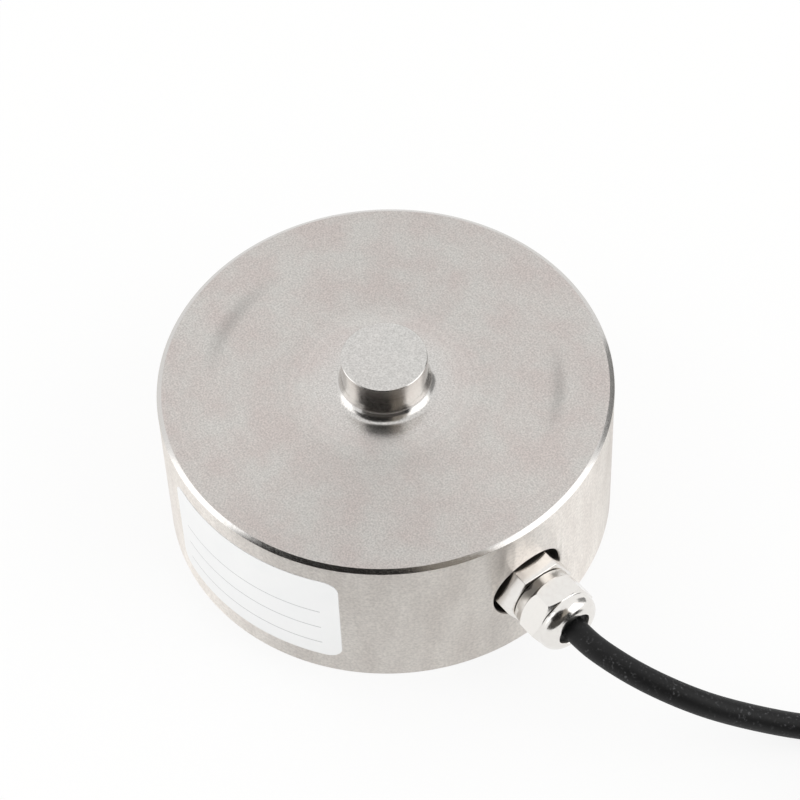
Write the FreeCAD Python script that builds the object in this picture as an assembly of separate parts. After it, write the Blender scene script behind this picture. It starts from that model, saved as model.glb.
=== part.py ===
# Compression load cell of the membrane-box type, with its cable gland and cable.
# Millimetres. The origin is the centre of the base face, +Z goes up through the load button
# and +X is the side on which the cable leaves.
import math
import os

import FreeCAD
import Part

V = FreeCAD.Vector

# Turned steel body
body_diameter = 90.0
body_height = 36.0
wall_thickness = 15.0
rim_chamfer_width = 1.0
rim_chamfer_drop = 0.6
base_chamfer = 0.5
button_diameter = 17.0
button_height = 8.3
button_fillet = 2.3
button_edge_chamfer = 0.15

# Gauge cavity under the diaphragm
diaphragm_thickness = 5.0
hub_diameter = 22.0
cavity_fillet = 3.0
overload_gap = 0.5

# Cover plate in the base
cover_ledge = 3.0
cover_thickness = 3.0
cover_setback = 0.5
cover_clearance = 0.05

# Tapped holes in the base ring
base_hole_count = 4
base_hole_diameter = 5.0
base_hole_depth = 12.0
drill_half_angle = 59.0

# Strain gauges and their ring board
gauge_width = 3.6
gauge_thickness = 0.15
gauge_edge_distance = 0.3
gauge_gap = 2.9
gauge_pairs = 4
jumper_diameter = 0.3
jumper_spacing = 1.6
board_headroom = 5.0
board_thickness = 1.6
board_seat_width = 1.5
board_clearance = 0.1
board_hub_gap = 3.0
resistor_length = 3.2
resistor_width = 1.6
resistor_thickness = 0.6
resistor_turns = {"zero": 120.0, "span": 180.0, "temperature": 240.0}

# Cable
cable_diameter = 5.0
cable_tail_reach = 3.0
bend_share = 0.45
core_colours = ("red", "black", "green", "white")
core_diameter = 1.0
core_offset = 0.9
core_bend = 2.5
core_rise_distance = 4.5
core_stagger = 2.5

# Cable port in the wall and the gland in it
port_drop = 6.7
port_thread_diameter = 10.0
counterbore_depth = 4.2
counterbore_clearance = 0.4
counterbore_edge_break = 0.45
fit_clearance = 0.1
o_ring_thickness = 1.0
o_ring_width = 1.2
gland_hexagon = 13.5
gland_hexagon_turn = 29.0
gland_hexagon_length = 6.4
gland_shank_length = 7.0
gland_bore_clearance = 0.7
gland_neck_length = 5.4
gland_neck_wall = 1.05
seal_wall = 1.1
seal_clearance = 0.05
claw_wall = 0.75
claw_flange = 0.8
nut_hexagon = 13.2
nut_hexagon_turn = 27.5
nut_gap = 0.2
nut_length = 10.3
nut_collar_length = 1.8
nut_collar_step = 0.1
nut_hexagon_length = 5.2
nut_back_chamfer = 1.0
nut_front_chamfer = 0.5
nut_nose_round = 2.5
nut_lip_length = 1.0
nut_lip_round = 0.3

# Coil of the cable that is put away, in columns of turns that stand on its ties
coil_mean_diameter = 56.0
coil_layers = 4
coil_inner_layers = 2
coil_entry_length = 20.0
coil_bevel = 1.5
coil_end_start = -35.0
coil_end_stop = 25.0
coil_end_sink = 0.2
tie_turns = (135.0, 315.0)
tie_width = 4.5
tie_thickness = 1.0
tie_clearance = 0.2
tie_head_length = 6.0
tie_head_width = 5.0
tie_head_height = 4.0

# Stripped far end of the cable, laid along the coil's inner step
lead_spacing = 1.05
lead_gap = 0.1
lead_turns = (0.0, 8.0, 26.0, 42.0, 56.0, 64.0)
tip_diameter = 0.6
tip_length = 3.5

# Adhesive label on the wall
label_width = 40.2
label_height = 25.6
label_corner = 3.0
label_thickness = 0.12
label_turn = -76.0
label_base = 5.3

# Sizes that follow from those above
body_radius = body_diameter / 2
hub_radius = hub_diameter / 2
board_seat_radius = body_radius - wall_thickness
cavity_radius = board_seat_radius - board_seat_width
cover_seat_radius = board_seat_radius + cover_ledge
base_hole_radius = (cover_seat_radius + body_radius) / 2
cover_top = cover_setback + cover_thickness
gauge_margin = cavity_fillet + gauge_edge_distance
gauge_length = (cavity_radius - hub_radius - gauge_gap) / 2 - gauge_margin
cavity_roof = body_height - diaphragm_thickness
board_top = cavity_roof - board_headroom
board_bottom = board_top - board_thickness
board_inner_radius = hub_radius + board_hub_gap
port_height = board_bottom - port_drop
port_radius = port_thread_diameter / 2 + fit_clearance
counterbore_radius = gland_hexagon / math.sqrt(3) + counterbore_clearance
counterbore_floor = body_radius - counterbore_depth
cable_radius = cable_diameter / 2
seal_radius = cable_radius + seal_wall
claw_radius = seal_radius + claw_wall
socket_radius = claw_radius + fit_clearance
neck_radius = socket_radius + gland_neck_wall
nut_thread_radius = neck_radius + fit_clearance
nut_mouth_radius = seal_radius + seal_clearance
hexagon_start = counterbore_floor + o_ring_thickness
hexagon_end = hexagon_start + gland_hexagon_length
neck_end = hexagon_end + gland_neck_length
flange_end = neck_end + claw_flange
nut_start = hexagon_end + nut_gap
nut_end = nut_start + nut_length
cable_mouth = nut_end - nut_lip_length
cable_tail_start = board_seat_radius - cable_tail_reach
coil_turn_height = tie_thickness + cable_radius

# Free cable from the gland's mouth to the coil: along X and Y from the mouth, and height
cable_route = [
    (0.0, 0.0, port_height),
    (2.7, 0.0, port_height),
    (7.6, 0.4, port_height),
    (16.6, 3.0, 17.1),
    (25.3, 8.2, 14.6),
    (31.0, 15.1, 9.6),
    (38.7, 26.5, cable_radius),
    (49.5, 37.1, coil_turn_height),
    (62.5, 44.6, coil_turn_height),
]


def outline(corners):
    # closed wire in the XZ plane through corners given as radius, height and round
    edges = []
    ends = []
    for i, (radius, height, rounding) in enumerate(corners):
        corner = V(radius, 0, height)
        if rounding == 0:
            ends.append((corner, corner))
            continue
        before = V(corners[i - 1][0], 0, corners[i - 1][1]) - corner
        follower = corners[(i + 1) % len(corners)]
        after = V(follower[0], 0, follower[1]) - corner
        half_angle = before.getAngle(after) / 2
        before.normalize()
        after.normalize()
        start = corner + before * (rounding / math.tan(half_angle))
        end = corner + after * (rounding / math.tan(half_angle))
        inward = (before + after).normalize()
        middle = corner + inward * (rounding / math.sin(half_angle) - rounding)
        edges.append(Part.Arc(start, middle, end).toShape())
        ends.append((start, end))
    for before, after in zip(ends[-1:] + ends[:-1], ends):
        edges.append(Part.LineSegment(before[1], after[0]).toShape())
    return Part.Wire(Part.sortEdges(edges)[0])


def turned(corners):
    return Part.Face(outline(corners)).revolve(V(0, 0, 0), V(0, 0, 1), 360)


def ring(outer, inner, bottom, top):
    return turned([(inner, bottom, 0), (outer, bottom, 0), (outer, top, 0), (inner, top, 0)])


def hexagon_bar(across_flats, turn, bottom, top):
    radius = across_flats / math.sqrt(3)
    corners = [polar(radius, turn + 60 * k, bottom) for k in range(7)]
    return Part.Face(Part.makePolygon(corners)).extrude(V(0, 0, top - bottom))


def polar(radius, degrees, height=0.0):
    angle = math.radians(degrees)
    return V(radius * math.cos(angle), radius * math.sin(angle), height)


def spun(shape, degrees):
    shape.rotate(V(0, 0, 0), V(0, 0, 1), degrees)
    return shape


def on_port(shape):
    # lays a piece that was turned about Z along the port, so that its heights become X
    shape.rotate(V(0, 0, 0), V(0, 1, 0), 90)
    shape.translate(V(0, 0, port_height))
    return shape


def tube(points, diameter):
    # straight runs joined by tangent arcs, each as large as its two runs allow
    edges = []
    radii = []
    last = points[0]
    for before, corner, after in zip(points[:-2], points[1:-1], points[2:]):
        back = before - corner
        ahead = after - corner
        half_turn = (math.pi - back.getAngle(ahead)) / 2
        reach = bend_share * min(back.Length, ahead.Length)
        radii.append(reach / math.tan(half_turn))
        back.normalize()
        ahead.normalize()
        start = corner + back * reach
        end = corner + ahead * reach
        inward = (back + ahead).normalize()
        middle = corner + inward * (radii[-1] / math.cos(half_turn) - radii[-1])
        edges.append(Part.LineSegment(last, start).toShape())
        edges.append(Part.Arc(start, middle, end).toShape())
        last = end
    edges.append(Part.LineSegment(last, points[-1]).toShape())
    path = Part.Wire(edges)
    section = Part.Wire(Part.makeCircle(diameter / 2, points[0], points[1] - points[0]))
    solid = path.makePipeShell([section], True, False)
    ratio = solid.Volume / (math.pi * diameter**2 / 4 * path.Length)
    print("tube", round(path.Length, 1), "long, volume ratio", round(ratio, 4))
    print("radii", [round(radius, 1) for radius in radii])
    return solid


def sensor_body():
    hub_bottom = cover_top + overload_gap
    button_radius = button_diameter / 2
    button_top = body_height + button_height
    body = turned([
        (0, hub_bottom, 0),
        (hub_radius, hub_bottom, 0),
        (hub_radius, cavity_roof, cavity_fillet),
        (cavity_radius, cavity_roof, cavity_fillet),
        (cavity_radius, board_top, 0),
        (board_seat_radius, board_top, 0),
        (board_seat_radius, cover_top, 0),
        (cover_seat_radius, cover_top, 0),
        (cover_seat_radius, 0, 0),
        (body_radius - base_chamfer, 0, 0),
        (body_radius, base_chamfer, 0),
        (body_radius, body_height - rim_chamfer_drop, 0),
        (body_radius - rim_chamfer_width, body_height, 0),
        (button_radius, body_height, button_fillet),
        (button_radius, button_top - button_edge_chamfer, 0),
        (button_radius - button_edge_chamfer, button_top, 0),
        (0, button_top, 0),
    ])
    cuts = [cable_port()]
    for k in range(base_hole_count):
        cuts.append(base_hole(360 / base_hole_count * (k + 0.5)))
    body = body.cut(cuts)
    return body.makeChamfer(counterbore_edge_break, [e for e in body.Edges if is_counterbore_rim(e)])


def is_counterbore_rim(edge):
    # the bowed curve along which the counterbore breaks out of the wall
    box = edge.BoundBox
    is_bowed = box.XLength > fit_clearance and box.ZLength > counterbore_radius
    return is_bowed and box.XMin > counterbore_floor


def cable_port():
    # threaded bore from the cavity, opening into the counterbore that takes the hexagon
    inside = board_seat_radius - wall_thickness / 4
    outside = body_radius + counterbore_depth
    return on_port(turned([
        (0, inside, 0),
        (port_radius, inside, 0),
        (port_radius, counterbore_floor, 0),
        (counterbore_radius, counterbore_floor, 0),
        (counterbore_radius, outside, 0),
        (0, outside, 0),
    ]))


def base_hole(turn):
    # tapped hole: bore at the thread's inner diameter, with a drill point
    radius = base_hole_diameter / 2
    drill_point = radius / math.tan(math.radians(drill_half_angle))
    hole = turned([
        (0, 0, 0),
        (radius, 0, 0),
        (radius, base_hole_depth, 0),
        (0, base_hole_depth + drill_point, 0),
    ])
    hole.translate(polar(base_hole_radius, turn))
    return hole


def base_cover():
    return Part.makeCylinder(cover_seat_radius - cover_clearance, cover_thickness, V(0, 0, cover_setback))


def side_label():
    # film on the wall, a rounded rectangle seen square on
    corner = V(0, -label_width / 2, label_base)
    block = Part.makeBox(body_radius + label_thickness, label_width, label_height, corner)
    along = [e for e in block.Edges if abs(e.Vertexes[0].X - e.Vertexes[-1].X) > label_thickness]
    block = block.makeFillet(label_corner, along)
    film = ring(body_radius + label_thickness, body_radius, 0, body_height)
    return spun(film.common(block), label_turn)


def gauge_radius(place):
    reach = gauge_margin + gauge_length / 2
    return hub_radius + reach if place == "inner" else cavity_radius - reach


def gauge_turn(pair):
    return 360 / gauge_pairs * (pair + 0.5)


def strain_gauge(place, pair):
    # foil carrier bonded under the diaphragm
    corner = V(gauge_radius(place) - gauge_length / 2, -gauge_width / 2, cavity_roof - gauge_thickness)
    return spun(Part.makeBox(gauge_length, gauge_width, gauge_thickness, corner), gauge_turn(pair))


def gauge_jumpers():
    wires = []
    for pair in range(gauge_pairs):
        for place in ("inner", "outer"):
            for side in (-0.5, 0.5):
                foot = V(gauge_radius(place), side * jumper_spacing, board_top)
                wire = Part.makeCylinder(jumper_diameter / 2, board_headroom - gauge_thickness, foot)
                wires.append(spun(wire, gauge_turn(pair)))
    return Part.makeCompound(wires)


def bridge_board():
    return ring(board_seat_radius - board_clearance, board_inner_radius, board_bottom, board_top)


def board_resistor(turn):
    middle = (board_seat_radius + board_inner_radius) / 2
    corner = V(middle - resistor_width / 2, -resistor_length / 2, board_bottom - resistor_thickness)
    return spun(Part.makeBox(resistor_width, resistor_length, resistor_thickness, corner), turn)


def board_wire(index):
    # one core, from the end of the jacket inwards and up to the board; the lower pair rises further in
    level = 1 if index < 2 else -1
    side = 1 if index % 2 else -1
    y = side * core_offset
    z = port_height + level * core_offset
    rise = cable_tail_start - core_rise_distance - (core_stagger if level < 0 else 0)
    middle = V(rise + core_bend, y, z + core_bend) + V(-1, 0, -1).normalize() * core_bend
    path = Part.Wire([
        Part.LineSegment(V(cable_tail_start, y, z), V(rise + core_bend, y, z)).toShape(),
        Part.Arc(V(rise + core_bend, y, z), middle, V(rise, y, z + core_bend)).toShape(),
        Part.LineSegment(V(rise, y, z + core_bend), V(rise, y, board_bottom)).toShape(),
    ])
    section = Part.Wire(Part.makeCircle(core_diameter / 2, V(cable_tail_start, y, z), V(-1, 0, 0)))
    return path.makePipeShell([section], True, False)


def gland_body():
    # threaded shank, hexagon and the hollow neck that carries the nut
    bore_radius = cable_radius + gland_bore_clearance
    shank_start = counterbore_floor - gland_shank_length
    core = turned([
        (bore_radius, shank_start, 0),
        (port_thread_diameter / 2, shank_start, 0),
        (port_thread_diameter / 2, hexagon_end, 0),
        (neck_radius, hexagon_end, 0),
        (neck_radius, neck_end, 0),
        (socket_radius, neck_end, 0),
        (socket_radius, hexagon_end, 0),
        (bore_radius, hexagon_end, 0),
    ])
    hexagon = hexagon_bar(gland_hexagon, gland_hexagon_turn, hexagon_start, hexagon_end)
    bore = Part.makeCylinder(bore_radius, hexagon_end)
    return on_port(hexagon.cut(bore).fuse(core).removeSplitter())


def gland_o_ring():
    return on_port(ring(port_radius + o_ring_width, port_radius, counterbore_floor, hexagon_start))


def gland_seal():
    return on_port(ring(seal_radius, cable_radius, hexagon_end, cable_mouth))


def gland_claw():
    # clamping insert: sleeve in the neck, flange on the neck's end and a crown that the nut squeezes
    crown_end = (flange_end + cable_mouth) / 2
    crown_radius = (nut_thread_radius + nut_mouth_radius) / 2 - fit_clearance
    return on_port(turned([
        (seal_radius, hexagon_end, 0),
        (claw_radius, hexagon_end, 0),
        (claw_radius, neck_end, 0),
        (neck_radius, neck_end, 0),
        (neck_radius, flange_end, 0),
        (crown_radius, crown_end, 0),
        (seal_radius, crown_end, 0),
    ]))


def gland_dome_nut():
    # round collar, hexagon with its corners chamfered at both ends, and a domed nose round the mouth
    corner_radius = nut_hexagon / math.sqrt(3)
    collar_radius = nut_hexagon / 2 - nut_collar_step
    corners_start = nut_start + nut_collar_length
    corners_end = corners_start + nut_hexagon_length
    shell = turned([
        (nut_thread_radius, nut_start, 0),
        (collar_radius, nut_start, 0),
        (collar_radius, corners_start, 0),
        (corner_radius, corners_start + nut_back_chamfer, 0),
        (corner_radius, corners_end - nut_front_chamfer, 0),
        (collar_radius, corners_end, 0),
        (collar_radius, nut_end, nut_nose_round),
        (nut_mouth_radius, nut_end, nut_lip_round),
        (nut_mouth_radius, cable_mouth, 0),
        (nut_thread_radius, flange_end, 0),
    ])
    return on_port(shell.common(hexagon_bar(nut_hexagon, nut_hexagon_turn, nut_start, nut_end)))


def cable_tail():
    return on_port(Part.makeCylinder(cable_radius, cable_mouth - cable_tail_start, V(0, 0, cable_tail_start)))


def route_points():
    return [V(cable_mouth + x, y, z) for x, y, z in cable_route]


def cable_lead():
    return tube(route_points(), cable_diameter)


def coil_frame():
    # the coil's centre, and the turn of the place where the cable runs in; it winds clockwise from there
    before, entry = route_points()[-2:]
    heading = math.degrees(math.atan2(entry.y - before.y, entry.x - before.x))
    outer_turn = coil_mean_diameter / 2 + cable_diameter
    centre = entry + polar(coil_entry_length, heading) + polar(outer_turn, heading - 90)
    return V(centre.x, centre.y, 0), heading + 90


def coil_turn(degrees):
    return coil_frame()[1] - degrees


def coil_columns():
    middle = coil_mean_diameter / 2
    return middle + cable_diameter, middle, middle - cable_diameter


def coil_step():
    # height of the low inner column, where the stripped end lies
    return tie_thickness + coil_inner_layers * cable_diameter


def coil_top():
    return tie_thickness + coil_layers * cable_diameter


def end_height():
    return coil_step() + cable_radius - coil_end_sink


def cable_coil():
    # outer shape of the turns, the stretch that runs in and the end that lies on the inner step
    outer, middle, inner = coil_columns()
    centre, entry_turn = coil_frame()
    bundle = turned([
        (inner - cable_radius, tie_thickness + coil_bevel, 0),
        (inner - cable_radius + coil_bevel, tie_thickness, 0),
        (outer + cable_radius - coil_bevel, tie_thickness, 0),
        (outer + cable_radius, tie_thickness + coil_bevel, 0),
        (outer + cable_radius, coil_top() - coil_bevel, 0),
        (outer + cable_radius - coil_bevel, coil_top(), 0),
        (middle - cable_radius + coil_bevel, coil_top(), 0),
        (middle - cable_radius, coil_top() - coil_bevel, 0),
        (middle - cable_radius, coil_step(), 0),
        (inner - cable_radius + coil_bevel, coil_step(), 0),
        (inner - cable_radius, coil_step() - coil_bevel, 0),
    ])
    end_circle = Part.makeCircle(cable_radius, V(inner, 0, end_height()), V(0, 1, 0))
    end_sweep = coil_end_stop - coil_end_start
    end = Part.Face(Part.Wire(end_circle)).revolve(V(0, 0, 0), V(0, 0, 1), end_sweep)
    bundle = bundle.fuse(spun(end, entry_turn - coil_end_stop))
    bundle.translate(centre)
    before, entry = route_points()[-2:]
    run_in = Part.makeCylinder(cable_radius, coil_entry_length, entry, entry - before)
    return bundle.fuse(run_in).removeSplitter()


def coil_tie(turn):
    # strap round the bundle of turns, with its head on top
    outer, middle, inner = coil_columns()
    corners = [
        (inner - cable_radius - tie_clearance, tie_thickness),
        (outer + cable_radius + tie_clearance, tie_thickness),
        (outer + cable_radius + tie_clearance, coil_top()),
        (middle - cable_radius - tie_clearance, coil_top()),
        (inner - cable_radius - tie_clearance, coil_step()),
    ]
    inside = Part.makePolygon([V(r, -tie_width / 2, z) for r, z in corners + corners[:1]])
    outside = inside.makeOffset2D(tie_thickness)
    strap = Part.Face(outside).cut(Part.Face(inside)).extrude(V(0, tie_width, 0))
    head_corner = V(middle - tie_head_width / 2, -tie_head_length / 2, coil_top() + tie_thickness)
    head = Part.makeBox(tie_head_width, tie_head_length, tie_head_height, head_corner)
    tie = spun(strap.fuse(head).removeSplitter(), coil_turn(turn))
    tie.translate(coil_frame()[0])
    return tie


def lead_points(index):
    # one stripped core, from the end of the jacket down to the coil's step and along it
    radius = coil_columns()[2] + (index - (len(core_colours) - 1) / 2) * lead_spacing
    resting = coil_step() + core_diameter / 2
    heights = [end_height()] * 2 + [resting] * (len(lead_turns) - 2)
    gap_turn = math.degrees(lead_gap / radius)
    turns = [coil_turn(coil_end_stop + gap_turn + turn) for turn in lead_turns]
    return [coil_frame()[0] + polar(radius, turn, z) for turn, z in zip(turns, heights)]


def lead_wire(index):
    return tube(lead_points(index), core_diameter)


def tinned_tips():
    tips = []
    for index in range(len(core_colours)):
        before, end = lead_points(index)[-2:]
        tips.append(Part.makeCylinder(tip_diameter / 2, tip_length, end, end - before))
    return Part.makeCompound(tips)


def build():
    parts = {
        "sensor_body": sensor_body(),
        "base_cover": base_cover(),
        "side_label": side_label(),
        "gauge_jumpers": gauge_jumpers(),
        "bridge_board": bridge_board(),
        "gland_body": gland_body(),
        "gland_o_ring": gland_o_ring(),
        "gland_seal": gland_seal(),
        "gland_claw": gland_claw(),
        "gland_dome_nut": gland_dome_nut(),
        "cable_tail": cable_tail(),
        "cable_lead": cable_lead(),
        "cable_coil": cable_coil(),
        "tinned_tips": tinned_tips(),
    }
    for place in ("inner", "outer"):
        for pair in range(gauge_pairs):
            parts[f"strain_gauge_{place}_{pair + 1}"] = strain_gauge(place, pair)
    for name, turn in resistor_turns.items():
        parts[f"{name}_resistor"] = board_resistor(turn)
    for index, colour in enumerate(core_colours):
        parts[f"board_wire_{colour}"] = board_wire(index)
        parts[f"lead_wire_{colour}"] = lead_wire(index)
    for index, turn in enumerate(tie_turns):
        parts[f"coil_tie_{index + 1}"] = coil_tie(turn)
    return parts


os.makedirs("parts", exist_ok=True)
for node, shape in build().items():
    shape.exportStep(f"parts/{node}.step")
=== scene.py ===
import math

import bpy
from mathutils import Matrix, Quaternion, Vector


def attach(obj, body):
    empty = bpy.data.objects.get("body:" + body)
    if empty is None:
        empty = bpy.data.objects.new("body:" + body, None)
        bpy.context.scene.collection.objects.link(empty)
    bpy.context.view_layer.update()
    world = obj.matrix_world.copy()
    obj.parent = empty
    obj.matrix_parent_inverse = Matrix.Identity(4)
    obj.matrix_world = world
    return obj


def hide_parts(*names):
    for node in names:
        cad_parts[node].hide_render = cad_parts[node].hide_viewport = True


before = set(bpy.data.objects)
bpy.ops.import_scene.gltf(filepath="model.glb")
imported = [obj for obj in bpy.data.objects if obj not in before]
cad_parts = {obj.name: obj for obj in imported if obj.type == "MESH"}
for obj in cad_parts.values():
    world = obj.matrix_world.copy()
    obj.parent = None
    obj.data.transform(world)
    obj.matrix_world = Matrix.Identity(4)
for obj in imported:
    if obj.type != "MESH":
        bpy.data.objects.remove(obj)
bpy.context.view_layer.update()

mm = 0.001
print("frame loaded with", len(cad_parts), "nodes")

portHeight = 17.7  # axis of the cable port, in mm above the base
closeBy = 0.001  # places this near to each other, in mm, count as one
weldGap = 0.002  # seams up to this wide, in mm, are closed
smallRound = 0.5  # rounds up to this radius, in mm, get few steps
smallRoundSteps = 3


def toLinear(hexText):  # sRGB hex to the linear colour that a socket takes
    parts = [int(hexText[i:i + 2], 16) / 255 for i in (1, 3, 5)]
    return [c / 12.92 if c <= 0.04045 else ((c + 0.055) / 1.055) ** 2.4 for c in parts] + [1.0]


def patternScale(size):  # scale of a noise whose features are this size in mm
    return 1 / (size * mm)


def addNode(tree, kind, settings=None, links=None):  # one node with its settings and what feeds it
    node = tree.nodes.new("ShaderNode" + kind)
    for name, value in (settings or {}).items():
        if isinstance(name, str) and hasattr(node, name):
            setattr(node, name, value)
        else:
            node.inputs[name].default_value = value
    for name, (source, output) in (links or {}).items():
        tree.links.new(source.outputs[output], node.inputs[name])
    return node


def newMaterial(name, settings):  # a principled shader with its plain values
    material = bpy.data.materials.new(name)
    material.use_nodes = True
    tree = material.node_tree
    tree.nodes.clear()
    shader = addNode(tree, "BsdfPrincipled", settings)
    addNode(tree, "OutputMaterial", links={"Surface": (shader, "BSDF")})
    return material, tree, shader


def mottle(tree, shader, size, detail, first, second):  # two tones that mix in marks of this size in mm
    place = addNode(tree, "TexCoord")
    marks = addNode(tree, "TexNoise", {"Scale": patternScale(size), "Detail": detail},
                    {"Vector": (place, "Object")})
    colour = addNode(tree, "MixRGB", {"Color1": toLinear(first), "Color2": toLinear(second)},
                     {"Fac": (marks, "Fac")})
    tree.links.new(colour.outputs[0], shader.inputs["Base Color"])
    return marks


def plainPlastic(name, dark, light, markSize, rough):  # small parts: a base tone with fine mottling
    material, tree, shader = newMaterial(name, {"Roughness": rough, "IOR": 1.5})
    mottle(tree, shader, markSize, 3.0, dark, light)
    return material


# ways of working that the pieces below share
def startPiece(name):  # a new mesh with a single vertex, left in edit mode
    bpy.ops.object.select_all(action="DESELECT")
    bpy.ops.mesh.primitive_plane_add(size=mm)
    piece = bpy.context.object
    piece.name = piece.data.name = name
    bpy.ops.object.mode_set(mode="EDIT")
    bpy.ops.mesh.select_all(action="SELECT")
    bpy.ops.mesh.merge(type="CENTER")
    return piece


def pickPiece(piece):  # the only selected object, in object mode
    if bpy.context.mode != "OBJECT":
        bpy.ops.object.mode_set(mode="OBJECT")
    bpy.ops.object.select_all(action="DESELECT")
    piece.select_set(True)
    bpy.context.view_layer.objects.active = piece


def pickParts(piece, mode, test):  # selects vertices, or edges by their two ends, from their places in mm
    bpy.ops.object.mode_set(mode="EDIT")
    bpy.ops.mesh.select_mode(type=mode)
    bpy.ops.mesh.select_all(action="DESELECT")
    bpy.ops.object.mode_set(mode="OBJECT")
    mesh = piece.data
    if mode == "VERT":
        for vertex in mesh.vertices:
            vertex.select = test(vertex.co / mm)
    else:
        for edge in mesh.edges:
            edge.select = test(*(mesh.vertices[k].co / mm for k in edge.vertices))
    bpy.ops.object.mode_set(mode="EDIT")


def drawLine(points):  # goes from point to point, in metres
    for k, point in enumerate(points):
        if k == 0:
            bpy.ops.transform.translate(value=point)
        else:
            bpy.ops.mesh.extrude_region_move(TRANSFORM_OT_translate={"value": point - points[k - 1]})


def drawSection(name, corners, closed, roundSteps):  # half section of radius, height and round in mm
    piece = startPiece(name)
    points = [Vector((radius, 0, height)) for radius, height, rounding in corners]
    drawLine([point * mm for point in points])
    if closed:
        pickParts(piece, "VERT", lambda co: min((co - points[0]).length, (co - points[-1]).length) < closeBy)
        bpy.ops.mesh.edge_face_add()
    for k, (radius, height, rounding) in enumerate(corners):
        if rounding:
            back = points[k - 1] - points[k]
            ahead = points[(k + 1) % len(points)] - points[k]
            reach = rounding / math.tan(back.angle(ahead) / 2)
            pickParts(piece, "VERT", lambda co: (co - points[k]).length < closeBy)
            segments = roundSteps if rounding > smallRound else smallRoundSteps
            bpy.ops.mesh.bevel(offset=reach * mm, segments=segments, affect="VERTICES")
    bpy.ops.mesh.select_all(action="SELECT")
    return piece


def spinProfile(name, corners, steps, closed=False, roundSteps=8):  # turns a half section about Z
    piece = drawSection(name, corners, closed, roundSteps)
    bpy.ops.mesh.spin(steps=steps, angle=2 * math.pi, center=(0, 0, 0), axis=(0, 0, 1))
    tidyMesh(piece)
    return piece


def block(name, size, centre):  # a box, in mm
    bpy.ops.object.select_all(action="DESELECT")
    bpy.ops.mesh.primitive_cube_add(size=mm, location=Vector(centre) * mm, scale=size)
    piece = bpy.context.object
    piece.name = piece.data.name = name
    bpy.ops.object.transform_apply(location=True, scale=True)
    return piece


def tidyMesh(piece):  # closes seams and poles, turns faces outwards and leaves edit mode
    pickPiece(piece)
    bpy.ops.object.mode_set(mode="EDIT")
    bpy.ops.mesh.select_mode(type="VERT")
    bpy.ops.mesh.select_all(action="SELECT")
    bpy.ops.mesh.remove_doubles(threshold=weldGap * mm)
    bpy.ops.mesh.normals_make_consistent(inside=False)
    bpy.ops.object.mode_set(mode="OBJECT")


def combine(piece, tool, operation):  # boolean, after which the tool is gone
    pickPiece(piece)
    step = piece.modifiers.new("combine", "BOOLEAN")
    step.operation = operation
    step.solver = "EXACT"
    step.object = tool
    bpy.ops.object.modifier_apply(modifier=step.name)
    bpy.data.objects.remove(tool)


def softenEdges(piece, width, angle):  # small rounds on the sharp edges, as tumbling leaves them
    pickPiece(piece)
    step = piece.modifiers.new("edges", "BEVEL")
    step.width = width * mm
    step.segments = smallRoundSteps
    step.limit_method = "ANGLE"
    step.angle_limit = math.radians(angle)
    step.use_clamp_overlap = True
    bpy.ops.object.modifier_apply(modifier=step.name)


def shadeSmooth(piece, angle):  # smooth, with the edges above this angle left crisp
    pickPiece(piece)
    bpy.ops.object.shade_smooth_by_angle(angle=math.radians(angle))


def layOnPort(piece):  # a piece turned about Z goes along the cable port, its heights along X
    pickPiece(piece)
    piece.rotation_euler = (0, math.pi / 2, 0)
    piece.location = (0, 0, portHeight * mm)
    bpy.ops.object.transform_apply(location=True, rotation=True)


def hexagonBar(name, acrossFlats, turn, bottom, top):  # a six-sided bar along Z, with a corner at the turn
    firstCorner = 30  # where a new six-sided cylinder has a corner
    bpy.ops.object.select_all(action="DESELECT")
    bpy.ops.mesh.primitive_cylinder_add(vertices=6, radius=acrossFlats / math.sqrt(3) * mm,
                                        depth=(top - bottom) * mm, location=(0, 0, (top + bottom) / 2 * mm))
    bar = bpy.context.object
    bar.name = bar.data.name = name
    bar.rotation_euler = (0, 0, math.radians(turn - firstCorner))
    bpy.ops.object.transform_apply(location=True, rotation=True)
    return bar


def finishPiece(piece, slotName, *nodes):  # says what the piece rides on and stands for
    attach(piece, "root")
    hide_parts(*nodes)


# camera, where the photographer stood
cameraSetup = {
    "place": (0.3054675, -0.2164832, 0.5285565),
    "look": (-0.48739625, 0.3507847, -0.79962178),
    "rollDegrees": 2.57,
    "lens": 141.83,
    "sensor": 36.0,
    "clipStart": 0.01,
}


def placeCamera(setup):
    bpy.ops.object.select_all(action="DESELECT")
    bpy.ops.object.camera_add(location=setup["place"])
    camera = bpy.context.object
    roll = Quaternion((0, 0, 1), math.radians(-setup["rollDegrees"]))
    turn = Vector(setup["look"]).to_track_quat("-Z", "Y") @ roll
    camera.rotation_euler = turn.to_euler()
    camera.data.lens = setup["lens"]
    camera.data.sensor_width = setup["sensor"]
    camera.data.clip_start = setup["clipStart"]
    bpy.context.scene.camera = camera


placeCamera(cameraSetup)
bpy.context.scene.view_settings.view_transform = "Standard"
print("camera placed")

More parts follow.
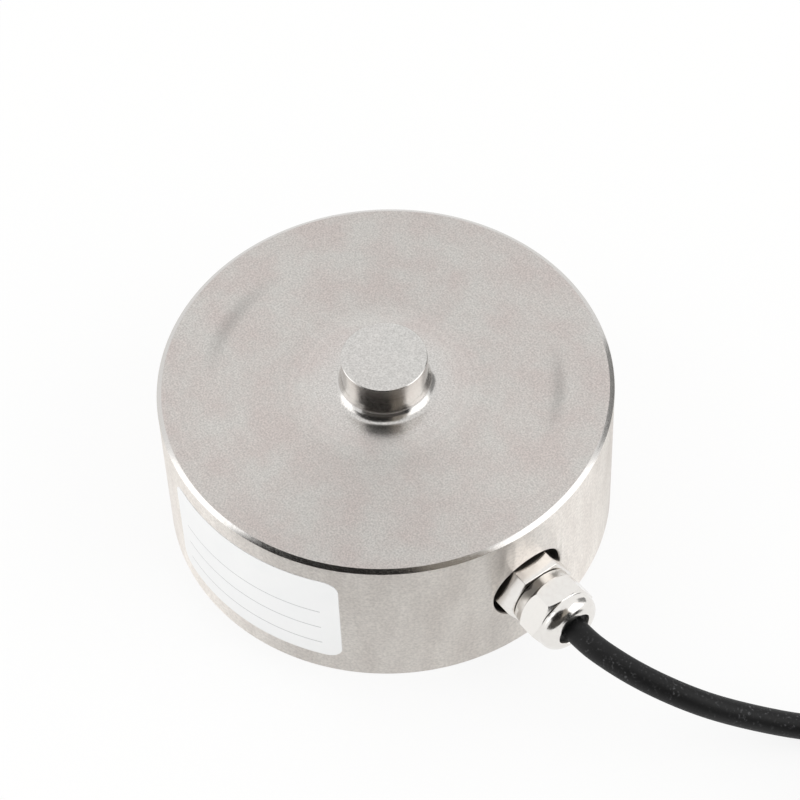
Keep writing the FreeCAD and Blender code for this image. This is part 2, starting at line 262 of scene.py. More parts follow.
# studio: white tent, softboxes at the sides and a dark opening where the camera stands
studio = {
    "floorSize": 6.0,
    "floorDrop": 0.0002,
    "floorColour": "#F4F4F2",
    "floorLift": 0.85,  # share of plain white in what the camera and the metal see of the floor
    "tentDiffuse": 0.95,
    "softboxes": [
        # name, azimuth, elevation, distance, width, height, radiance
        ("softboxLeft", -126.0, 28.0, 1.4, 0.8, 1.37, 0.85),
        ("softboxRight", 39.0, 32.0, 1.4, 1.06, 1.35, 1.0),
    ],
    # half sections of the cloths round the object, in metres, which hang low and high
    "low": [(1.5, 0.0), (1.45, 0.5), (1.3, 0.85)],
    "high": [(1.3, 0.85), (1.0, 1.2), (0.3, 1.5)],
    "cloths": [
        # name, section, from and to azimuth, tone: the steel mirrors them as its darker zones
        ("clothLow", "low", -88.0, 2.0, "#474441"),
        ("clothEdge", "low", 2.0, 14.0, "#0C0C0C"),
        ("clothOverhead", "high", -112.0, -22.0, "#1D1A18"),
        ("clothSide", "high", -22.0, 14.0, "#918A81"),
        ("clothRight", "low", 70.0, 100.0, "#8E8E8E"),
    ],
    "clothSteps": 24,
    "clothRough": 0.95,
}


def fromCentre(azimuth, elevation, distance):  # a place round the object
    a, e = math.radians(azimuth), math.radians(elevation)
    return Vector((math.cos(a) * math.cos(e), math.sin(a) * math.cos(e), math.sin(e))) * distance


def seenShare(tree):  # 1 for what the camera, metal and glass see, 0 for the light that falls on the object
    path = addNode(tree, "LightPath")
    seen = addNode(tree, "Math", {"operation": "MAXIMUM"},
                   {0: (path, "Is Camera Ray"), 1: (path, "Is Glossy Ray")})
    return addNode(tree, "Math", {"operation": "MAXIMUM"}, {0: (seen, 0), 1: (path, "Is Transmission Ray")})


def layFloor(setup):
    bpy.ops.object.select_all(action="DESELECT")
    bpy.ops.mesh.primitive_plane_add(size=setup["floorSize"], location=(0, 0, -setup["floorDrop"]))
    floor = bpy.context.object
    floor.name = "studioFloor"
    bpy.ops.object.transform_apply(location=True)
    material = bpy.data.materials.new("paper_sweep_matt_white")  # matt paper: even white with a soft shadow
    material.use_nodes = True
    tree = material.node_tree
    tree.nodes.clear()
    paper = addNode(tree, "BsdfDiffuse", {"Color": toLinear(setup["floorColour"])})
    white = addNode(tree, "Emission", {"Strength": 1.0})
    share = addNode(tree, "Math", {"operation": "MULTIPLY", 1: setup["floorLift"]}, {0: (seenShare(tree), 0)})
    mixed = addNode(tree, "MixShader", links={0: (share, 0), 1: (paper, 0), 2: (white, 0)})
    addNode(tree, "OutputMaterial", links={"Surface": (mixed, 0)})
    floor.data.materials.append(material)


def hangTent(setup):
    world = bpy.data.worlds.new("whiteTent")
    bpy.context.scene.world = world
    world.use_nodes = True
    tree = world.node_tree
    tree.nodes.clear()
    level = addNode(tree, "MapRange", {"To Min": setup["tentDiffuse"], "To Max": 1.0},
                    {"Value": (seenShare(tree), 0)})
    tent = addNode(tree, "Background", {"Color": (1, 1, 1, 1)}, {"Strength": (level, 0)})
    addNode(tree, "OutputWorld", links={"Surface": (tent, 0)})


def placeSoftboxes(setup):
    for name, azimuth, elevation, distance, width, height, radiance in setup["softboxes"]:
        bpy.ops.object.select_all(action="DESELECT")
        place = fromCentre(azimuth, elevation, distance)
        bpy.ops.object.light_add(type="AREA", location=place)
        lamp = bpy.context.object
        lamp.name = name
        lamp.rotation_euler = (-place).to_track_quat("-Z", "Y").to_euler()
        lamp.data.shape = "RECTANGLE"
        lamp.data.size = width
        lamp.data.size_y = height
        lamp.data.energy = radiance * math.pi * width * height  # watts
        lamp.visible_camera = False


def hangCloths(setup):
    for name, section, start, end, tone in setup["cloths"]:
        cloth = startPiece(name)
        drawLine([Vector((radius, 0, height)) for radius, height in setup[section]])
        bpy.ops.mesh.select_all(action="SELECT")
        bpy.ops.mesh.spin(steps=setup["clothSteps"], angle=-math.radians(end - start), center=(0, 0, 0),
                          axis=(0, 0, 1))
        bpy.ops.object.mode_set(mode="OBJECT")
        cloth.rotation_euler = (0, 0, math.radians(start))
        bpy.ops.object.transform_apply(rotation=True)
        finish = {"Base Color": toLinear(tone), "Roughness": setup["clothRough"]}
        cloth.data.materials.append(newMaterial("cotton_cloth_" + name, finish)[0])
        cloth.visible_camera = False
        cloth.visible_diffuse = False
        cloth.visible_shadow = False


layFloor(studio)
hangTent(studio)
placeSoftboxes(studio)
hangCloths(studio)
print("studio built")

# cable: one spline through the route, the coil's turns and the end on the inner step
cableSetup = {
    "diameter": 5.0,
    "exit": (57.7, 0.0, portHeight),
    "route": [  # along X and Y from the exit, and height
        (0.0, 0.0, portHeight),
        (2.7, 0.0, portHeight),
        (7.6, 0.4, portHeight),
        (16.6, 3.0, 17.1),
        (25.3, 8.2, 14.6),
        (31.0, 15.1, 9.6),
        (38.7, 26.5, 2.5),
        (49.5, 37.1, 3.5),
        (62.5, 44.6, 3.5),
    ],
    "entryLength": 20.0,
    "meanDiameter": 56.0,
    "layers": 4,
    "innerLayers": 2,
    "tieThickness": 1.0,
    "pointsPerTurn": 16,
    "stepStart": 300.0,  # where each turn begins to step to the next
    "endStop": 25.0,
    "endHeight": 13.3,
    "length": 1.95,  # metres
    "roundSteps": 8,
    "pathSteps": 6,
}


def coilFrame(setup):  # centre of the coil, and the direction from it to the place where the cable runs in
    mouth = Vector(setup["exit"])
    before, entry = [Vector((mouth.x + x, mouth.y + y, z)) for x, y, z in setup["route"][-2:]]
    heading = math.atan2(entry.y - before.y, entry.x - before.x)
    outer = setup["meanDiameter"] / 2 + setup["diameter"]
    along = Vector((math.cos(heading), math.sin(heading), 0))
    inward = Vector((math.sin(heading), -math.cos(heading), 0))
    centre = entry + along * setup["entryLength"] + inward * outer
    return Vector((centre.x, centre.y, 0)), heading + math.pi / 2


def coilTurns(setup):  # radius and height of every turn, in the order in which they are wound
    middle, gap = setup["meanDiameter"] / 2, setup["diameter"]
    levels = [setup["tieThickness"] + gap * (k + 0.5) for k in range(setup["layers"])]
    turns = [(middle + gap, z) for z in levels]
    turns += [(middle, z) for z in reversed(levels)]
    turns += [(middle - gap, z) for z in levels[:setup["innerLayers"]]]
    return turns


def cablePoints(setup):
    mouth = Vector(setup["exit"])
    points = [Vector((mouth.x + x, mouth.y + y, z)) for x, y, z in setup["route"]]
    centre, start = coilFrame(setup)
    turns = coilTurns(setup)
    last = (turns[-1][0], setup["endHeight"])
    step = 360.0 / setup["pointsPerTurn"]
    bulge = 1 / math.cos(math.radians(step / 2))  # the spline runs inside its points
    for (radius, height), (nextRadius, nextHeight) in zip(turns, turns[1:] + [last]):
        for k in range(setup["pointsPerTurn"]):
            degrees = step * (k + 0.5)
            share = max(0.0, (degrees - setup["stepStart"]) / (360.0 - setup["stepStart"]))
            r = (radius + (nextRadius - radius) * share) * bulge
            z = height + (nextHeight - height) * share
            angle = start - math.radians(degrees)
            points.append(centre + Vector((r * math.cos(angle), r * math.sin(angle), z)))
    for degrees, reach in ((step / 2, bulge), (setup["endStop"], 1.0)):
        angle = start - math.radians(degrees)
        r = last[0] * reach
        points.append(centre + Vector((r * math.cos(angle), r * math.sin(angle), last[1])))
    return points


def layCable(setup, material):
    curve = bpy.data.curves.new("cable", "CURVE")
    curve.dimensions = "3D"
    curve.bevel_depth = setup["diameter"] / 2 * mm
    curve.bevel_resolution = setup["roundSteps"]
    curve.resolution_u = setup["pathSteps"]
    curve.use_fill_caps = True
    spline = curve.splines.new("NURBS")
    points = cablePoints(setup)
    spline.points.add(len(points) - 1)
    for knot, point in zip(spline.points, points):
        knot.co = (*(point * mm), 1.0)
    spline.order_u = 3
    spline.use_endpoint_u = True
    spline.use_smooth = True
    cable = bpy.data.objects.new("cable", curve)
    bpy.context.scene.collection.objects.link(cable)
    curve.materials.append(material)
    finishPiece(cable, "black_cable_jacket", "cable_lead", "cable_coil")
    return cable


# PVC, extruded: matt black with a faint sheen, pale flecks and rubbed patches
def extrudedPvc():
    material, tree, shader = newMaterial("pvc_extruded_black",
                                         {"Roughness": 0.55, "IOR": 1.53, "Specular IOR Level": 0.3})
    place = addNode(tree, "TexCoord")
    # rubbed patches of 6 mm, with flecks of 0.6 mm inside them
    rubs = addNode(tree, "TexNoise", {"Scale": patternScale(6.0), "Detail": 3.0},
                   {"Vector": (place, "Object")})
    rubs = addNode(tree, "MapRange", {"From Min": 0.35, "From Max": 0.6}, {"Value": (rubs, "Fac")})
    flecks = addNode(tree, "TexNoise", {"Scale": patternScale(0.6), "Detail": 3.0},
                     {"Vector": (place, "Object")})
    flecks = addNode(tree, "MapRange", {"From Min": 0.57, "From Max": 0.72}, {"Value": (flecks, "Fac")})
    markTone = addNode(tree, "Math", {"operation": "MULTIPLY"}, {0: (rubs, 0), 1: (flecks, 0)})
    colour = addNode(tree, "MixRGB", {"Color1": toLinear("#0F0F10"), "Color2": toLinear("#525254")},
                     {"Fac": (markTone, 0)})
    tree.links.new(colour.outputs[0], shader.inputs["Base Color"])
    return material


cablePvc = extrudedPvc()
cable = layCable(cableSetup, cablePvc)

tieSetup = {
    "turns": (135.0, 315.0),
    # outer side of the strap round the coil: radius from the coil's middle, height, round
    "loop": [(19.3, 0.0, 1.2), (36.7, 0.0, 1.2), (36.7, 22.0, 1.2), (24.68, 22.0, 1.2), (19.3, 11.24, 1.2)],
    "width": 4.5,
    "edge": 0.2,
    "headSize": (5.0, 6.0, 4.1),
    "headPlace": (28.0, 0.0, 23.95),
    "headEdge": 0.7,
    "slotSize": (1.7, 4.9, 6.0),
    "tailSize": (1.0, 4.4, 6.0),
    "tailPlace": (28.0, 0.0, 24.0),
    "roundSteps": 4,
    "sharpAngle": 40.0,
    "smoothAngle": 35.0,
}


def buildTies(setup, material):
    tie = drawSection("coilTie1", setup["loop"], True, setup["roundSteps"])
    bpy.ops.mesh.edge_face_add()
    bpy.ops.mesh.inset(thickness=cableSetup["tieThickness"] * mm)
    bpy.ops.mesh.delete(type="ONLY_FACE")
    bpy.ops.mesh.select_all(action="SELECT")
    bpy.ops.mesh.extrude_region_move(TRANSFORM_OT_translate={"value": (0, setup["width"] * mm, 0)})
    bpy.ops.mesh.select_all(action="SELECT")
    bpy.ops.transform.translate(value=(0, -setup["width"] / 2 * mm, 0))
    tidyMesh(tie)
    softenEdges(tie, setup["edge"], setup["sharpAngle"])
    head = block("tieHead", setup["headSize"], setup["headPlace"])
    softenEdges(head, setup["headEdge"], setup["sharpAngle"])
    combine(head, block("tieSlot", setup["slotSize"], setup["headPlace"]), "DIFFERENCE")
    combine(tie, head, "UNION")
    tail = block("tieTail", setup["tailSize"], setup["tailPlace"])
    softenEdges(tail, setup["edge"], setup["sharpAngle"])
    combine(tie, tail, "UNION")
    tidyMesh(tie)
    tie.data.materials.append(material)
    shadeSmooth(tie, setup["smoothAngle"])
    pickPiece(tie)
    bpy.ops.object.duplicate(linked=False)
    ties = [tie, bpy.context.object]
    ties[1].name = ties[1].data.name = "coilTie2"
    centre, start = coilFrame(cableSetup)
    for k, piece in enumerate(ties):
        pickPiece(piece)
        piece.rotation_euler = (0, 0, start - math.radians(setup["turns"][k]))
        piece.location = centre * mm
        bpy.ops.object.transform_apply(location=True, rotation=True)
        finishPiece(piece, "black_nylon", f"coil_tie_{k + 1}")
    return ties


# nylon, moulded: plain black with a dull gloss
tieNylon = plainPlastic("nylon_moulded_black", "#161617", "#242425", 1.6, 0.45)
ties = buildTies(tieSetup, tieNylon)
print("cable laid and tied")

topSetup = {
    # darker arcs: radius and half width in mm, azimuth of the middle and half span in degrees
    "arcs": [(34.8, 2.8, -155.0, 28.0), (34.0, 2.4, 48.0, 24.0)],
    "arcTone": 0.79,
    "paler": (8.3, 15.0),  # radii in mm between which the neutral tone of the button fades out
    "palerShare": 0.75,
    "polish": (12.5, 19.5),  # radii in mm between which the top goes from polished to matt
    "roughness": (0.21, 0.52),
}


# stainless steel, faced on a lathe and lightly blasted: matt, pale and warm grey, with faint rings and stains
def facedSteel(setup):
    material, tree, shader = newMaterial("stainless_steel_faced_matt",
                                         {"Metallic": 1.0, "Anisotropic": 0.3, "Anisotropic Rotation": 0.25})
    place = addNode(tree, "TexCoord")
    tangent = addNode(tree, "Tangent", {"direction_type": "RADIAL", "axis": "Z"})
    flat = addNode(tree, "Mapping", {"Scale": (1, 1, 0)}, {"Vector": (place, "Object")})
    radius = addNode(tree, "VectorMath", {"operation": "LENGTH"}, {0: (flat, 0)})
    # rings 1.2 mm apart on average, drawn coarser than the tool's real 0.1 mm feed so that they show
    rings = addNode(tree, "TexNoise", {"noise_dimensions": "1D", "Scale": patternScale(1.2), "Detail": 3.0},
                    {"W": (radius, "Value")})
    # grains of 0.35 mm, coarser than the real blasting so that they show, and stains of 9 mm
    grain = addNode(tree, "TexNoise", {"Scale": patternScale(0.35), "Detail": 2.0},
                    {"Vector": (place, "Object")})
    stain = addNode(tree, "TexNoise", {"Scale": patternScale(9.0), "Detail": 3.0, "Roughness": 0.6},
                    {"Vector": (place, "Object")})
    stainShare = addNode(tree, "MapRange", {"From Min": 0.35, "From Max": 0.65}, {"Value": (stain, "Fac")})
    colour = addNode(tree, "MixRGB", {"Color1": toLinear("#D1CECA"), "Color2": toLinear("#CEC6C2")},
                     {"Fac": (stainShare, 0)})
    inner, outer = setup["paler"]
    onButton = addNode(tree, "MapRange", {"From Min": inner * mm, "From Max": outer * mm,
                                          "To Min": setup["palerShare"], "To Max": 0.0},
                       {"Value": (radius, "Value")})
    colour = addNode(tree, "MixRGB", {"Color2": toLinear("#D1D0CD")},
                     {"Fac": (onButton, 0), "Color1": (colour, 0)})
    speck = addNode(tree, "MapRange", {"From Min": 0.3, "From Max": 0.7, "To Min": 0.83, "To Max": 1.15},
                    {"Value": (grain, "Fac")})
    ringTone = addNode(tree, "MapRange", {"From Min": 0.3, "From Max": 0.7, "To Min": 0.97, "To Max": 1.02},
                       {"Value": (rings, "Fac")})
    tone = addNode(tree, "Math", {"operation": "MULTIPLY"}, {0: (speck, 0), 1: (ringTone, 0)})
    axes = addNode(tree, "SeparateXYZ", links={0: (place, "Object")})
    angle = addNode(tree, "Math", {"operation": "ARCTAN2"}, {0: (axes, "Y"), 1: (axes, "X")})
    # the colour goes darker along these arcs, down to arcTone at their middle
    for arcRadius, halfWidth, middle, halfSpan in setup["arcs"]:
        share = None
        for value, centre, reach in ((radius, arcRadius * mm, halfWidth * mm),
                                     (angle, math.radians(middle), math.radians(halfSpan))):
            away = addNode(tree, "Math", {"operation": "SUBTRACT", 1: centre}, {0: (value, "Value")})
            away = addNode(tree, "Math", {"operation": "ABSOLUTE"}, {0: (away, 0)})
            near = addNode(tree, "MapRange", {"interpolation_type": "SMOOTHSTEP", "From Max": reach,
                                              "To Min": 1.0, "To Max": 0.0}, {"Value": (away, 0)})
            share = near if share is None else addNode(tree, "Math", {"operation": "MULTIPLY"},
                                                       {0: (share, 0), 1: (near, 0)})
        markTone = addNode(tree, "MapRange", {"To Min": 1.0, "To Max": setup["arcTone"]}, {"Value": (share, 0)})
        tone = addNode(tree, "Math", {"operation": "MULTIPLY"}, {0: (tone, 0), 1: (markTone, 0)})
    colour = addNode(tree, "VectorMath", {"operation": "SCALE"}, {0: (colour, 0), "Scale": (tone, 0)})
    tree.links.new(colour.outputs[0], shader.inputs["Base Color"])
    ringRough = addNode(tree, "MapRange", {"From Min": 0.3, "From Max": 0.7, "To Min": 0.94, "To Max": 1.06},
                        {"Value": (rings, "Fac")})
    inner, outer = setup["polish"]
    polished, matt = setup["roughness"]
    rough = addNode(tree, "MapRange", {"From Min": inner * mm, "From Max": outer * mm,
                                       "To Min": polished, "To Max": matt}, {"Value": (radius, "Value")})
    rough = addNode(tree, "Math", {"operation": "MULTIPLY"}, {0: (rough, 0), 1: (ringRough, 0)})
    tree.links.new(rough.outputs[0], shader.inputs["Roughness"])
    tree.links.new(tangent.outputs[0], shader.inputs["Tangent"])
    bump = addNode(tree, "Bump", {"Strength": 0.12, "Distance": 0.02 * mm}, {"Height": (grain, "Fac")})
    tree.links.new(bump.outputs[0], shader.inputs["Normal"])
    return material


# stainless steel, turned: fine lines round the wall draw every reflection out into upright streaks
def turnedSteel():
    material, tree, shader = newMaterial("stainless_steel_turned_satin",
                                         {"Metallic": 1.0, "Anisotropic": 1.0, "Anisotropic Rotation": 0.25})
    place = addNode(tree, "TexCoord")
    tangent = addNode(tree, "Tangent", {"direction_type": "RADIAL", "axis": "Z"})
    axes = addNode(tree, "SeparateXYZ", links={0: (place, "Object")})
    # lines 0.5 mm apart, drawn coarser than the real feed so that they show
    lines = addNode(tree, "TexNoise", {"noise_dimensions": "1D", "Scale": patternScale(0.5), "Detail": 2.0},
                    {"W": (axes, "Z")})
    # grains of 0.55 mm, also coarser than real, and stains of 4.5 mm drawn out upwards
    grain = addNode(tree, "TexNoise", {"Scale": patternScale(0.55), "Detail": 3.0},
                    {"Vector": (place, "Object")})
    drawnOut = addNode(tree, "Mapping", {"Scale": (1, 1, 0.3)}, {"Vector": (place, "Object")})
    stain = addNode(tree, "TexNoise", {"Scale": patternScale(4.5), "Detail": 4.0}, {"Vector": (drawnOut, 0)})
    stainShare = addNode(tree, "MapRange", {"From Min": 0.35, "From Max": 0.65}, {"Value": (stain, "Fac")})
    colour = addNode(tree, "MixRGB", {"Color1": toLinear("#EAE5DF"), "Color2": toLinear("#E0DAD4")},
                     {"Fac": (stainShare, 0)})
    speck = addNode(tree, "MapRange", {"From Min": 0.3, "From Max": 0.7, "To Min": 0.87, "To Max": 1.1},
                    {"Value": (grain, "Fac")})
    colour = addNode(tree, "VectorMath", {"operation": "SCALE"}, {0: (colour, 0), "Scale": (speck, 0)})
    tree.links.new(colour.outputs[0], shader.inputs["Base Color"])
    rough = addNode(tree, "MapRange", {"From Min": 0.3, "From Max": 0.7, "To Min": 0.32, "To Max": 0.37},
                    {"Value": (lines, "Fac")})
    tree.links.new(rough.outputs[0], shader.inputs["Roughness"])
    tree.links.new(tangent.outputs[0], shader.inputs["Tangent"])
    return material


# stainless steel, turned and polished: clear reflections with a trace of the lathe's rings
def polishedSteel():
    material, tree, shader = newMaterial("stainless_steel_polished", {"Metallic": 1.0})
    marks = mottle(tree, shader, 0.65, 3.0, "#D6D4D1", "#CFCCC9")
    rough = addNode(tree, "MapRange", {"From Min": 0.3, "From Max": 0.7, "To Min": 0.14, "To Max": 0.24},
                    {"Value": (marks, "Fac")})
    tree.links.new(rough.outputs[0], shader.inputs["Roughness"])
    return material


# stainless steel in the port's bore: dull, with painted shade in its dark grey colour, so that the recess
# round the gland stays dark
def recessShadeSteel():
    material, tree, shader = newMaterial("stainless_steel_recess_painted_shade", {"Metallic": 1.0, "Roughness": 0.5})
    mottle(tree, shader, 0.8, 3.0, "#6E6A66", "#86817C")
    return material


bodySetup = {
    # half section in mm: radius, height, round
    "section": [
        (0.0, 4.0, 0.0),
        (11.0, 4.0, 0.0),
        (11.0, 31.0, 3.0),
        (28.5, 31.0, 3.0),
        (28.5, 26.0, 0.0),
        (30.0, 26.0, 0.0),
        (30.0, 3.5, 0.0),
        (33.0, 3.5, 0.0),
        (33.0, 0.0, 0.1),
        (44.5, 0.0, 0.1),
        (45.0, 0.5, 0.1),
        (45.0, 35.4, 0.12),
        (44.0, 36.0, 0.12),
        (8.5, 36.0, 2.3),
        (8.5, 44.15, 0.05),
        (8.35, 44.3, 0.05),
        (0.0, 44.3, 0.0),
    ],
    "steps": 240,
    "roundSteps": 10,
    "turn": 0.75,  # keeps the wall's upright edges clear of the port's rim
    "port": [
        (0.0, 25.0, 0.0),
        (5.1, 25.0, 0.0),
        (5.1, 40.8, 0.0),
        (8.194, 40.8, 0.0),
        (8.194, 50.0, 0.0),
        (0.0, 50.0, 0.0),
    ],
    "portRim": 0.45,
    "portRimSteps": 2,
    "portSteps": 96,
    "rimSlack": 0.03,  # how far a corner on the port's rim may lie from the true curve
    "holes": 4,
    "holeSteps": 32,
    "hole": [
        (0.0, -1.0, 0.0),
        (2.5, -1.0, 0.0),
        (2.5, 12.0, 0.0),
        (0.0, 13.5, 0.0),
    ],
    "holeCircle": 39.0,
    # where each finish lies: the top's faces, the polished rim and button, and the bore of the port, whose
    # steel carries painted shade
    "topHeight": 35.9,
    "topSlope": 0.8,
    "polishHeight": 35.45,
    "boreFrom": 20.0,
    "boreTo": 44.9,
    "boreSlack": 0.05,
    "smoothAngle": 25.0,
}


def buildBody(setup):
    body = spinProfile("sensorBody", setup["section"], setup["steps"], roundSteps=setup["roundSteps"])
    body.rotation_euler = (0, 0, math.radians(setup["turn"]))
    bpy.ops.object.transform_apply(rotation=True)
    port = spinProfile("portCutter", setup["port"], setup["portSteps"])
    layOnPort(port)
    combine(body, port, "DIFFERENCE")
    for k in range(setup["holes"]):
        hole = spinProfile("holeCutter", setup["hole"], setup["holeSteps"])
        angle = 2 * math.pi / setup["holes"] * (k + 0.5)
        hole.location = Vector((math.cos(angle), math.sin(angle), 0)) * setup["holeCircle"] * mm
        bpy.ops.object.transform_apply(location=True)
        combine(body, hole, "DIFFERENCE")
    wallRadius = max(radius for radius, height, rounding in setup["section"])
    portRadius = max(radius for radius, height, rounding in setup["port"])

    def onRim(co):  # on the bowed edge where the port breaks out of the wall
        offWall = abs(math.hypot(co.x, co.y) - wallRadius)
        offPort = abs(math.hypot(co.y, co.z - portHeight) - portRadius)
        return co.x > 0 and max(offWall, offPort) < setup["rimSlack"]

    pickParts(body, "EDGE", lambda a, b: onRim(a) and onRim(b))
    bpy.ops.mesh.bevel(offset=setup["portRim"] * mm, segments=setup["portRimSteps"], affect="EDGES",
                       clamp_overlap=False)
    bpy.ops.object.mode_set(mode="OBJECT")
    tidyMesh(body)
    for material in (turnedSteel(), facedSteel(topSetup), polishedSteel(), recessShadeSteel()):
        body.data.materials.append(material)
    for face in body.data.polygons:
        co = face.center / mm
        inPort = math.hypot(co.y, co.z - portHeight) < portRadius + setup["boreSlack"]
        if co.z > setup["topHeight"] and face.normal.z > setup["topSlope"]:
            face.material_index = 1
        elif co.z > setup["polishHeight"]:
            face.material_index = 2
        # the bore of the port takes the steel with painted shade
        elif inPort and co.x > setup["boreFrom"] and math.hypot(co.x, co.y) < setup["boreTo"]:
            face.material_index = 3
    shadeSmooth(body, setup["smoothAngle"])
    finishPiece(body, "machined_steel", "sensor_body")
    return body


body = buildBody(bodySetup)
print("body turned,", len(body.data.polygons), "faces")


def platedMetal(name, light, dark, markSize):  # bright metal with marks that blur its reflections unevenly
    material, tree, shader = newMaterial(name, {"Metallic": 1.0})
    marks = mottle(tree, shader, markSize, 4.0, light, dark)
    rough = addNode(tree, "MapRange", {"From Min": 0.3, "From Max": 0.7, "To Min": 0.12, "To Max": 0.22},
                    {"Value": (marks, "Fac")})
    tree.links.new(rough.outputs[0], shader.inputs["Roughness"])
    return material


glandSetup = {
    "bodyHexagon": 13.5,
    "bodyTurn": 29.0,
    "bodyStart": 41.8,
    "bodyEnd": 48.2,
    "core": [
        (0.0, 33.8, 0.0),
        (5.0, 33.8, 0.2),
        (5.0, 48.1, 0.0),
        (5.5, 48.1, 0.0),
        (5.5, 53.6, 0.0),
        (0.0, 53.6, 0.0),
    ],
    "bore": [
        (0.0, 33.0, 0.0),
        (3.2, 33.0, 0.0),
        (3.2, 48.2, 0.0),
        (4.45, 48.2, 0.0),
        (4.45, 54.0, 0.0),
        (0.0, 54.0, 0.0),
    ],
    "nutHexagon": 13.2,
    "nutTurn": 27.5,
    "nutStart": 48.4,
    "nutEnd": 58.7,
    "nutSection": [
        (5.6, 48.4, 0.0),
        (6.5, 48.4, 0.15),
        (6.5, 50.2, 0.15),
        (7.621, 51.2, 0.3),
        (7.621, 54.9, 0.3),
        (6.5, 55.4, 0.3),
        (6.5, 58.7, 2.5),
        (3.65, 58.7, 0.3),
        (3.65, 57.7, 0.0),
        (5.6, 54.4, 0.0),
    ],
    "bodyEdge": 0.12,
    "bodySharp": 40.0,
    "nutEdge": 0.3,
    "nutSharp": 22.0,
    "coreSteps": 96,
    "nutSteps": 144,
    "nutRoundSteps": 14,
    "smoothAngle": 30.0,
}


def buildGland(setup, material):
    gland = hexagonBar("glandBody", setup["bodyHexagon"], setup["bodyTurn"],
                       setup["bodyStart"], setup["bodyEnd"])
    softenEdges(gland, setup["bodyEdge"], setup["bodySharp"])
    combine(gland, spinProfile("glandCore", setup["core"], setup["coreSteps"]), "UNION")
    combine(gland, spinProfile("glandBore", setup["bore"], setup["coreSteps"]), "DIFFERENCE")
    nut = hexagonBar("glandDomeNut", setup["nutHexagon"], setup["nutTurn"],
                     setup["nutStart"], setup["nutEnd"])
    shell = spinProfile("nutShell", setup["nutSection"], setup["nutSteps"], closed=True,
                        roundSteps=setup["nutRoundSteps"])
    combine(nut, shell, "INTERSECT")
    softenEdges(nut, setup["nutEdge"], setup["nutSharp"])
    for piece, node in ((gland, "gland_body"), (nut, "gland_dome_nut")):
        layOnPort(piece)
        tidyMesh(piece)
        piece.data.materials.append(material)
        shadeSmooth(piece, setup["smoothAngle"])
        finishPiece(piece, "nickel_plated_brass", node)
    return gland, nut


# brass, nickel plated and barrel finished: bright, a little warm, softly blurred
glandNickel = platedMetal("brass_nickel_plated", "#EFEDE9", "#E6E2DE", 1.1)
gland, nut = buildGland(glandSetup, glandNickel)
print("gland built,", len(gland.data.polygons), "and", len(nut.data.polygons), "faces")

# ruled lines on the label: heights and width in mm, and the azimuths between which they run
labelSetup = {"lines": (20.2, 14.8, 9.5), "lineWidth": 0.22, "from": -98.0, "to": -54.5}


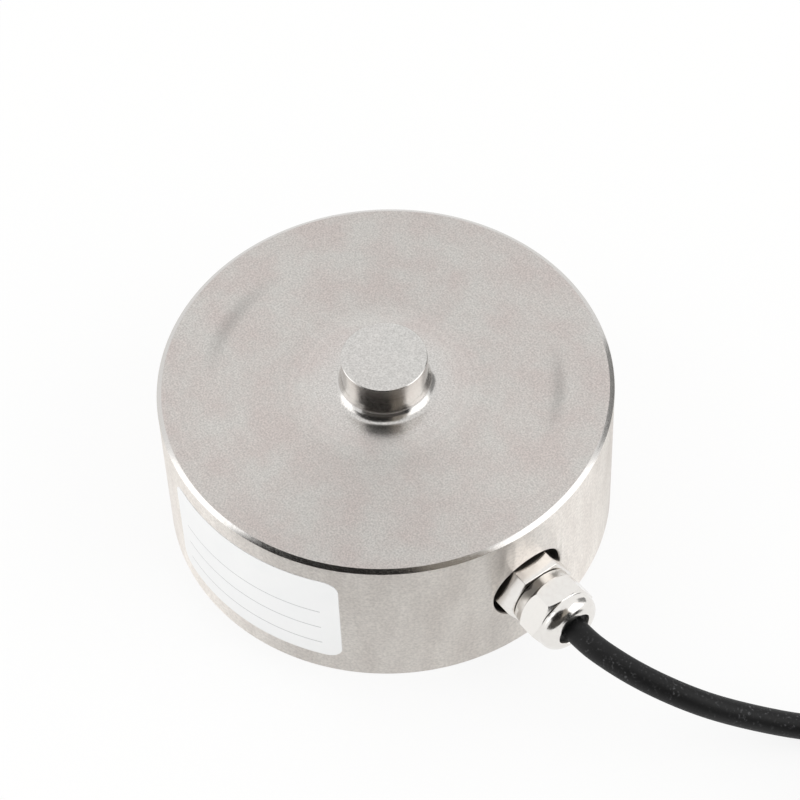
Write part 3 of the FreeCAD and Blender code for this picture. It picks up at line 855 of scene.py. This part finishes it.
# polyester film, printed: clean white with a soft gloss and thin grey ruled lines
def printedFilm(setup):
    material, tree, shader = newMaterial("polyester_film_printed", {"Roughness": 0.35, "IOR": 1.57})
    place = addNode(tree, "TexCoord")
    axes = addNode(tree, "SeparateXYZ", links={0: (place, "Object")})
    ink = None
    for height in setup["lines"]:
        line = addNode(tree, "Math", {"operation": "COMPARE", 1: height * mm, 2: setup["lineWidth"] / 2 * mm},
                       {0: (axes, "Z")})
        ink = line if ink is None else addNode(tree, "Math", {"operation": "MAXIMUM"},
                                               {0: (ink, 0), 1: (line, 0)})
    angle = addNode(tree, "Math", {"operation": "ARCTAN2"}, {0: (axes, "Y"), 1: (axes, "X")})
    middle = math.radians((setup["from"] + setup["to"]) / 2)
    half = math.radians((setup["to"] - setup["from"]) / 2)
    inside = addNode(tree, "Math", {"operation": "COMPARE", 1: middle, 2: half}, {0: (angle, 0)})
    ink = addNode(tree, "Math", {"operation": "MULTIPLY"}, {0: (ink, 0), 1: (inside, 0)})
    cloud = addNode(tree, "TexNoise", {"Scale": patternScale(6.0), "Detail": 2.0},
                    {"Vector": (place, "Object")})
    paper = addNode(tree, "MixRGB", {"Color1": toLinear("#F3F3F3"), "Color2": toLinear("#EDEEEF")},
                    {"Fac": (cloud, "Fac")})
    colour = addNode(tree, "MixRGB", {"Color2": toLinear("#B4B4B6")}, {"Fac": (ink, 0), "Color1": (paper, 0)})
    tree.links.new(colour.outputs[0], shader.inputs["Base Color"])
    return material


# nitrile rubber, moulded: deep black, dull
def mouldedRubber():
    material, tree, shader = newMaterial("nitrile_rubber_moulded", {"IOR": 1.52})
    dust = mottle(tree, shader, 1.4, 4.0, "#131314", "#262627")
    rough = addNode(tree, "MapRange", {"To Min": 0.55, "To Max": 0.75}, {"Value": (dust, "Fac")})
    tree.links.new(rough.outputs[0], shader.inputs["Roughness"])
    return material


def dress(material, *nodes):  # gives CAD nodes that keep their shape their finish
    for node in nodes:
        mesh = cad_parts[node].data
        mesh.materials.clear()
        mesh.materials.append(material)


dress(printedFilm(labelSetup), "side_label")
dress(mouldedRubber(), "gland_seal", "gland_o_ring")
dress(cablePvc, "cable_tail")
dress(turnedSteel(), "base_cover")
# nylon, moulded: dull mid grey
dress(plainPlastic("nylon_moulded_grey", "#8C8C8A", "#A09F9C", 1.6, 0.5), "gland_claw")
# glass-fibre epoxy, laminated: glossy green
dress(plainPlastic("glass_epoxy_laminate", "#1E5A32", "#2A6B3D", 1.1, 0.35), "bridge_board")
# polyimide, cast film: clear amber gloss
dress(plainPlastic("polyimide_film_amber", "#B8741F", "#C98A35", 1.2, 0.3),
      *[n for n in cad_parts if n.startswith("strain_gauge")])
# alumina, glazed: glossy, nearly black
dress(plainPlastic("alumina_glazed_dark", "#242428", "#34343A", 1.1, 0.3),
      "zero_resistor", "span_resistor", "temperature_resistor")
# copper, hot tinned: pale silver, a little uneven
dress(platedMetal("copper_hot_tinned", "#DCDBD8", "#CDCBC7", 0.4), "gauge_jumpers", "tinned_tips")
# PVC, extruded thin: plain colours with a soft gloss
coreTones = {
    "red": ("#A8201C", "#BE3430"),
    "black": ("#1A1A1B", "#29292A"),
    "green": ("#1F7A3C", "#2F8C4B"),
    "white": ("#DCDCD8", "#EBEBE8"),
}
for tone, (dark, light) in coreTones.items():
    dress(plainPlastic(f"pvc_extruded_{tone}_core", dark, light, 1.4, 0.4),
          f"board_wire_{tone}", f"lead_wire_{tone}")
print("materials given to the kept nodes")
